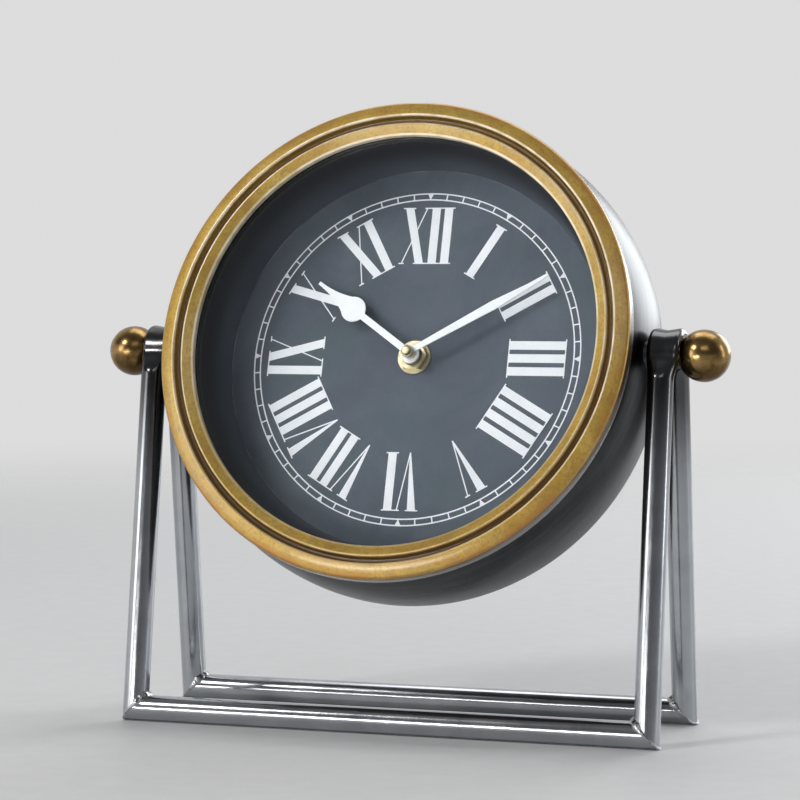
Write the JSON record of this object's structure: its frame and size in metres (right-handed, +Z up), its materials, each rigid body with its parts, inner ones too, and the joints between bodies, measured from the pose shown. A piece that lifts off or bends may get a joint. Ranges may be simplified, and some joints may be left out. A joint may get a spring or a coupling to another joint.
{
  "type": "desk clock",
  "caption": "Round desk clock with a brass bezel and slate dial in a steel drum that tilts between ball knobs on a bent tube stand, with a quartz movement inside.",
  "frame": {"origin": "on the table, under the middle of the object, straight below the pivot axis", "axes": "+Z up, +X to the right as seen from the front along the pivot axis, -Y towards the viewer in front of the dial"},
  "size_m": [0.2694, 0.1144, 0.2548],
  "materials": {
    "polished_tube": "polished steel tube",
    "pivot_steel": "machined",
    "drum_steel": "fine circular brushing",
    "antique_brass": "satin, slightly aged",
    "ball_brass": "dark aged brass, glossy",
    "lens": "clear",
    "seal_rubber": "matt",
    "surround_slate": "slate grey, matt",
    "dial_slate": "slate grey, satin",
    "print_white": "white print",
    "zinc_steel": "zinc plated",
    "cover_black": "satin black",
    "hand_white": "white paint",
    "works_black": "fine grain",
    "works_grey": "fine grain",
    "bush_brass": "machined",
    "cell_jacket": "printed sleeve, no lettering",
    "contact_nickel": "nickel plated",
    "board_green": "solder mask",
    "copper_wire": "enamelled copper wire",
    "bobbin_white": "moulded",
    "magnet_grey": "plated magnet on a plastic pinion",
    "wheel_ivory": "moulded wheels"
  },
  "bodies": {
    "stand": {"front_base_bar": "polished_tube", "rear_base_bar": "polished_tube", "left_leg_tube": "polished_tube", "right_leg_tube": "polished_tube", "left_pivot_sleeve": "pivot_steel", "right_pivot_sleeve": "pivot_steel"},
    "case": {"case_drum": "drum_steel", "bezel": "antique_brass", "glass": "lens", "glass_seal": "seal_rubber", "dial_surround": "surround_slate", "dial_plate": "dial_slate", "hour_numerals": "print_white", "minute_track": "print_white", "dial_brackets": "zinc_steel", "dial_screws": "zinc_steel", "back_cover": "cover_black", "back_cover_screws": "zinc_steel", "pivot_pads": "zinc_steel", "pivot_bolts": "zinc_steel", "pivot_spacers": "pivot_steel", "knob_washers": "ball_brass", "movement_housing": "works_black", "movement_cover": "works_grey", "threaded_bush": "bush_brass", "rubber_washer": "seal_rubber", "dial_washer_ring": "bush_brass", "dial_nut": "bush_brass", "battery": "cell_jacket", "positive_contact": "contact_nickel", "negative_contact": "contact_nickel", "circuit_board": "board_green", "quartz_crystal": "contact_nickel", "coil_winding": "copper_wire", "coil_bobbin": "bobbin_white", "stator": "contact_nickel"},
    "left_knob": {"left_ball_knob": "ball_brass"},
    "right_knob": {"right_ball_knob": "ball_brass"},
    "minute_works": {"minute_arbor": "contact_nickel", "minute_hand": "hand_white", "hand_nut": "bush_brass"},
    "hour_works": {"hour_wheel": "wheel_ivory", "hour_hand": "hand_white"},
    "setting_works": {"motion_wheel": "wheel_ivory", "setting_knob": "works_black"},
    "rotor_works": {"rotor": "magnet_grey"},
    "intermediate_works": {"intermediate_wheel": "wheel_ivory"},
    "seconds_works": {"seconds_wheel": "wheel_ivory"},
    "third_works": {"third_wheel": "wheel_ivory"},
    "centre_works": {"centre_wheel": "wheel_ivory"}
  },
  "joints": [
    {"name": "case_tilt", "type": "hinge", "parent": "stand", "child": "case", "pos_m": [0, 0, 0.152], "axis": [-1, 0, 0], "continuous": true},
    {"name": "left_knob_turn", "type": "hinge", "parent": "case", "child": "left_knob", "pos_m": [-0.124, 0, 0.152], "axis": [-1, 0, 0], "range_deg": [0, 360]},
    {"name": "right_knob_turn", "type": "hinge", "parent": "case", "child": "right_knob", "pos_m": [0.124, 0, 0.152], "axis": [1, 0, 0], "range_deg": [0, 360]},
    {"name": "minute_hand_turn", "type": "hinge", "parent": "case", "child": "minute_works", "pos_m": [0, 0, 0.152], "axis": [0, 0.9511, -0.309], "continuous": true},
    {"name": "hour_hand_turn", "type": "hinge", "parent": "case", "child": "hour_works", "pos_m": [0, 0, 0.152], "axis": [0, 0.9511, -0.309], "continuous": true},
    {"name": "setting_knob_turn", "type": "hinge", "parent": "case", "child": "setting_works", "pos_m": [-0.00779, 0.00139, 0.15628], "axis": [0, 0.9511, -0.309], "continuous": true},
    {"name": "intermediate_wheel_turn", "type": "hinge", "parent": "case", "child": "intermediate_works", "pos_m": [0.00536, 0.00487, 0.16699], "axis": [0, 0.9511, -0.309], "continuous": true},
    {"name": "rotor_turn", "type": "hinge", "parent": "case", "child": "rotor_works", "pos_m": [-0.00164, 0.00487, 0.16699], "axis": [0, 0.9511, -0.309], "continuous": true},
    {"name": "seconds_wheel_turn", "type": "hinge", "parent": "case", "child": "seconds_works", "pos_m": [0.00896, 0.00295, 0.16106], "axis": [0, 0.9511, -0.309], "continuous": true},
    {"name": "third_wheel_turn", "type": "hinge", "parent": "case", "child": "third_works", "pos_m": [0.00778, 0.00088, 0.15469], "axis": [0, 0.9511, -0.309], "continuous": true},
    {"name": "centre_wheel_turn", "type": "hinge", "parent": "case", "child": "centre_works", "pos_m": [0, 0, 0.152], "axis": [0, 0.9511, -0.309], "continuous": true}
  ],
  "couplings": [
    {"joint": "hour_hand_turn", "follows": "minute_hand_turn", "ratio": 0.083333},
    {"joint": "setting_knob_turn", "follows": "minute_hand_turn", "ratio": -0.33333},
    {"joint": "rotor_turn", "follows": "intermediate_wheel_turn", "ratio": -6},
    {"joint": "seconds_wheel_turn", "follows": "intermediate_wheel_turn", "ratio": -0.2},
    {"joint": "third_wheel_turn", "follows": "intermediate_wheel_turn", "ratio": 0.026667},
    {"joint": "centre_wheel_turn", "follows": "intermediate_wheel_turn", "ratio": -0.0033333}
  ]
}
